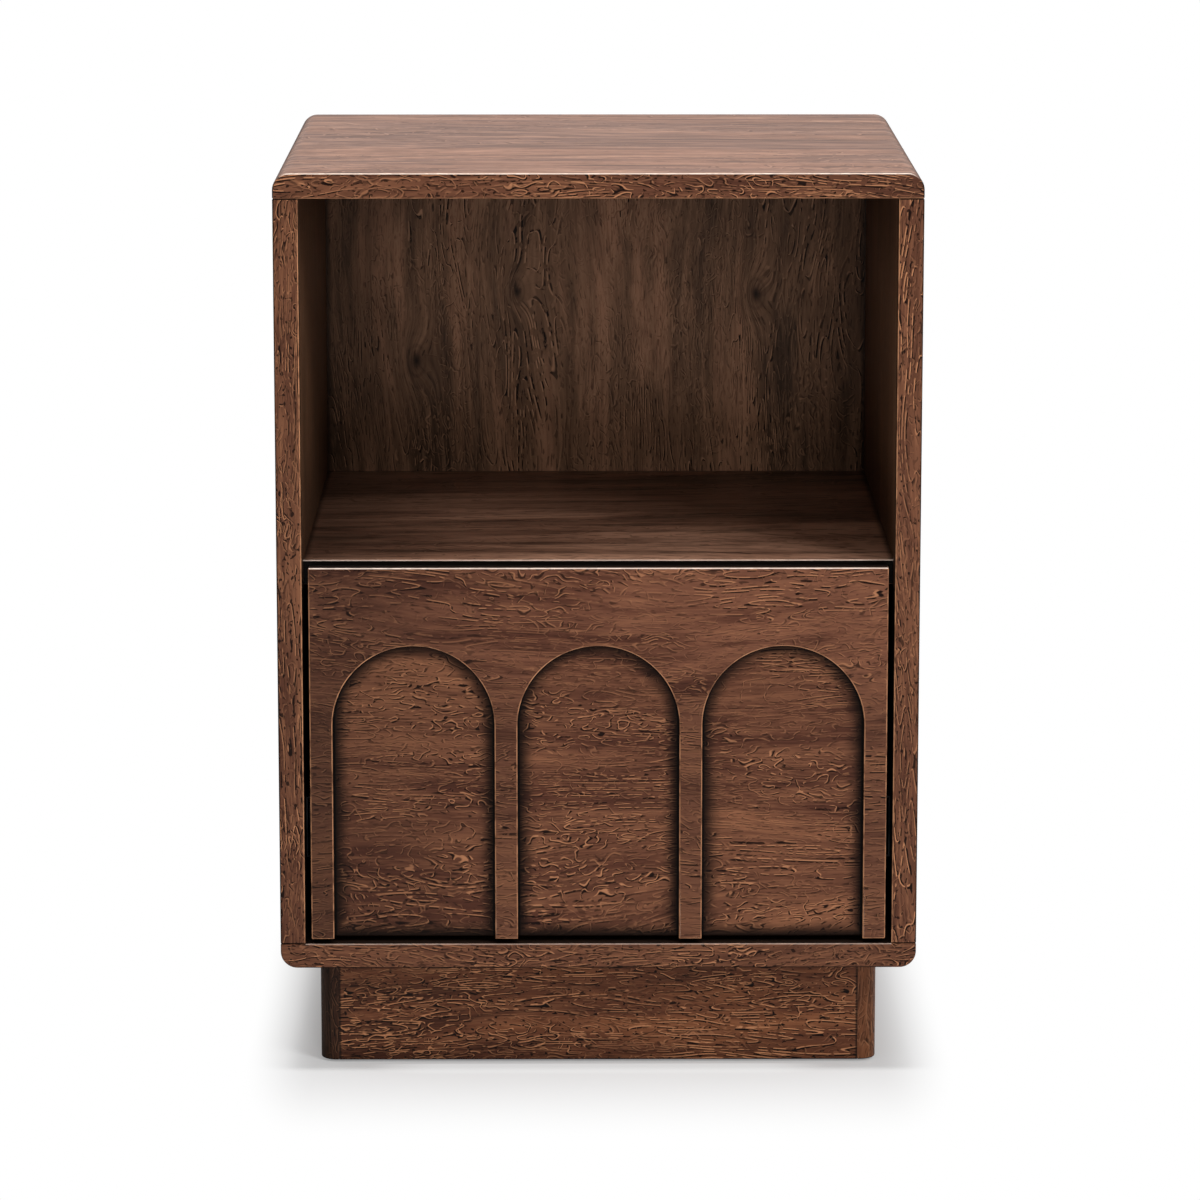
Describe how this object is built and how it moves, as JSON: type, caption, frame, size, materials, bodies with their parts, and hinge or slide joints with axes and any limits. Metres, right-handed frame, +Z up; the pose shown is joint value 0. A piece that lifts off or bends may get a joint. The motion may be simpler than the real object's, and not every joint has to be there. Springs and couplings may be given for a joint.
{
  "type": "nightstand",
  "caption": "Walnut nightstand with rounded long edges, an open compartment over one inset drawer with an arched front, and a recessed plinth.",
  "frame": {"origin": "on the floor, under the middle of the carcass", "axes": "+X to the right seen from the front, +Y to the rear, +Z up; the drawer opens towards -Y"},
  "size_m": [0.46, 0.43, 0.655],
  "materials": {
    "walnut_across": "dark walnut, grain across, satin lacquer",
    "walnut_upright": "dark walnut, grain upright, satin lacquer",
    "drawer_wood": "pale hardwood, clear matt lacquer",
    "drawer_plywood": "birch plywood, clear matt lacquer",
    "beech": "raw beech",
    "rail_steel": "black-plated steel sheet",
    "cage_steel": "black-plated pressed steel",
    "bearing_steel": "polished steel balls",
    "screw_zinc": "yellow zinc plating",
    "glide_plastic": "dark moulded plastic",
    "bumper_rubber": "black rubber"
  },
  "bodies": {
    "carcass": {"top_panel": "walnut_across", "bottom_panel": "walnut_across", "left_side": "walnut_upright", "right_side": "walnut_upright", "shelf": "walnut_across", "back_panel": "walnut_upright", "plinth_front_board": "walnut_across", "plinth_rear_board": "walnut_across", "plinth_left_board": "walnut_across", "plinth_right_board": "walnut_across", "front_left_post": "walnut_upright", "front_right_post": "walnut_upright", "rear_left_post": "walnut_upright", "rear_right_post": "walnut_upright", "plinth_blocks": "beech", "floor_glides": "glide_plastic", "plinth_screws": "screw_zinc", "top_dowels": "beech", "bottom_dowels": "beech", "shelf_dowels": "beech", "left_cabinet_rail": "rail_steel", "right_cabinet_rail": "rail_steel", "rail_bumpers": "bumper_rubber", "cabinet_rail_screws": "screw_zinc"},
    "drawer": {"drawer_front_base": "walnut_across", "drawer_arch_overlay": "walnut_across", "drawer_left_wall": "drawer_wood", "drawer_right_wall": "drawer_wood", "drawer_inner_front": "drawer_wood", "drawer_rear_wall": "drawer_wood", "drawer_bottom": "drawer_plywood", "drawer_dowels": "beech", "drawer_front_screws": "screw_zinc", "left_drawer_rail": "rail_steel", "right_drawer_rail": "rail_steel", "drawer_rail_screws": "screw_zinc"},
    "middle_rails": {"left_middle_rail": "rail_steel", "right_middle_rail": "rail_steel"},
    "outer_cages": {"left_outer_cage": "cage_steel", "right_outer_cage": "cage_steel", "left_outer_balls": "bearing_steel", "right_outer_balls": "bearing_steel"},
    "inner_cages": {"left_inner_cage": "cage_steel", "right_inner_cage": "cage_steel", "left_inner_balls": "bearing_steel", "right_inner_balls": "bearing_steel"}
  },
  "joints": [
    {"name": "drawer_slide", "type": "slide", "parent": "carcass", "child": "drawer", "axis": [0, -1, 0], "range_m": [0, 0.33]},
    {"name": "middle_rail_slide", "type": "slide", "parent": "carcass", "child": "middle_rails", "axis": [0, -1, 0], "range_m": [0, 0.1651]},
    {"name": "outer_cage_slide", "type": "slide", "parent": "carcass", "child": "outer_cages", "axis": [0, -1, 0], "range_m": [0, 0.0826]},
    {"name": "inner_cage_slide", "type": "slide", "parent": "carcass", "child": "inner_cages", "axis": [0, -1, 0], "range_m": [0, 0.2476]}
  ],
  "couplings": [
    {"joint": "middle_rail_slide", "follows": "drawer_slide", "ratio": 0.5},
    {"joint": "outer_cage_slide", "follows": "drawer_slide", "ratio": 0.25},
    {"joint": "inner_cage_slide", "follows": "drawer_slide", "ratio": 0.75}
  ]
}
